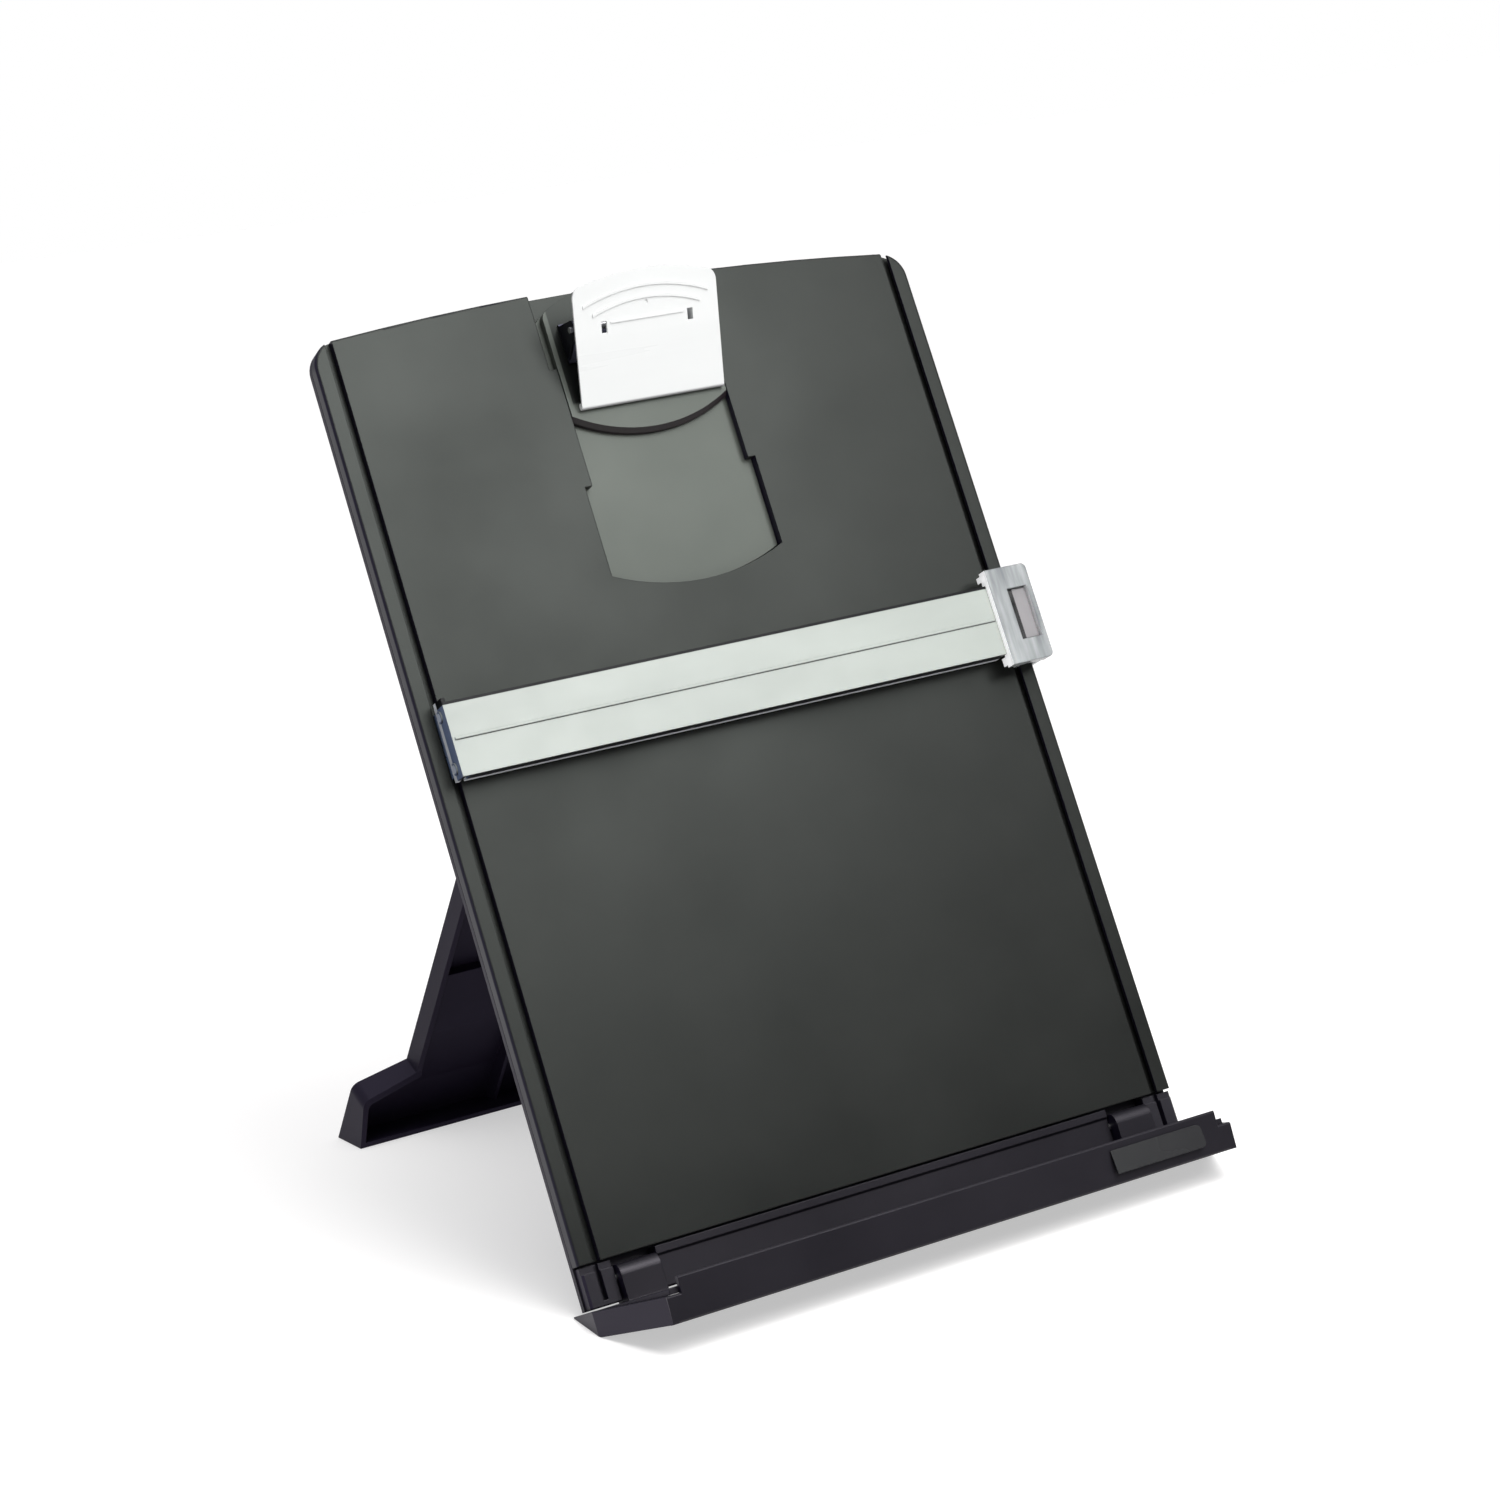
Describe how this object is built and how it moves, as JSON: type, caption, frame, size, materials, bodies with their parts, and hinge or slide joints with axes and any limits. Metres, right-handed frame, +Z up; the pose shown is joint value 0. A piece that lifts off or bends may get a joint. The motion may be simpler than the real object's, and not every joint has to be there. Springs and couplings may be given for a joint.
{
  "type": "copy holder",
  "caption": "Desktop copy holder: leaning board, folding rear leg and ledge, spring clip on a sliding carriage and a clear line guide.",
  "frame": {"origin": "centre of the bounding box on the table plane", "axes": "+Z up from the table; the board's face looks towards -Y and leans back towards +Y; +X to the viewer's right"},
  "size_m": [0.244, 0.3032, 0.3344],
  "materials": {
    "board_plastic": "satin, fine grain",
    "cover_plastic": "satin",
    "ledge_plastic": "satin",
    "leg_plastic": "satin",
    "label_film": "glossy",
    "carriage_plastic": "satin",
    "white_metal": "smooth",
    "spring_steel": "bright",
    "steel": "bright",
    "screw_steel": "dark zinc",
    "frosted_clear": "milky, half clear",
    "clear_plastic": "clear",
    "tinted_plastic": "tinted clear",
    "shoe_plastic": "half clear",
    "pad_rubber": "dull"
  },
  "bodies": {
    "board": {"front_board": "board_plastic", "rear_cover": "cover_plastic", "hinge_rail": "board_plastic", "cover_screws": "screw_steel", "rail_screws": "screw_steel", "ledge_hinge_pins": "steel", "leg_hinge_pin": "steel"},
    "ledge": {"ledge": "ledge_plastic", "label_plate": "label_film"},
    "leg": {"rear_leg": "leg_plastic"},
    "carriage": {"clip_carriage": "carriage_plastic", "carriage_detent_spring": "spring_steel", "clip_base": "carriage_plastic", "clip_base_screws": "screw_steel", "clip_bracket": "spring_steel", "clip_hinge_pin": "steel", "clip_spring": "spring_steel"},
    "lever": {"clip_lever": "white_metal"},
    "guide": {"line_guide": "frosted_clear", "guide_left_shoe": "shoe_plastic", "shoe_rivets": "shoe_plastic", "guide_slider": "clear_plastic", "slider_thumb_insert": "tinted_plastic", "slider_rear_hook": "clear_plastic", "slider_screws": "screw_steel", "guide_brake_pad": "pad_rubber"}
  },
  "joints": [
    {"name": "ledge_fold", "type": "hinge", "parent": "board", "child": "ledge", "pos_m": [0, -0.09756, 0.01118], "axis": [-1, 0, 0], "range_deg": [0, 90]},
    {"name": "leg_fold", "type": "hinge", "parent": "board", "child": "leg", "pos_m": [0, 0.03153, 0.28382], "axis": [-1, 0, 0], "range_deg": [0, 43]},
    {"name": "carriage_slide", "type": "slide", "parent": "board", "child": "carriage", "axis": [0, 0.3907, 0.9205], "range_m": [0, 0.06]},
    {"name": "lever_press", "type": "hinge", "parent": "carriage", "child": "lever", "pos_m": [0, 0.01691, 0.31566], "axis": [-1, 0, 0], "range_deg": [0, 25], "stiffness_Nm_per_rad": 0.35, "springref_deg": -20.05},
    {"name": "guide_slide", "type": "slide", "parent": "board", "child": "guide", "axis": [0, 0.3907, 0.9205], "range_m": [-0.11, 0.08]}
  ]
}
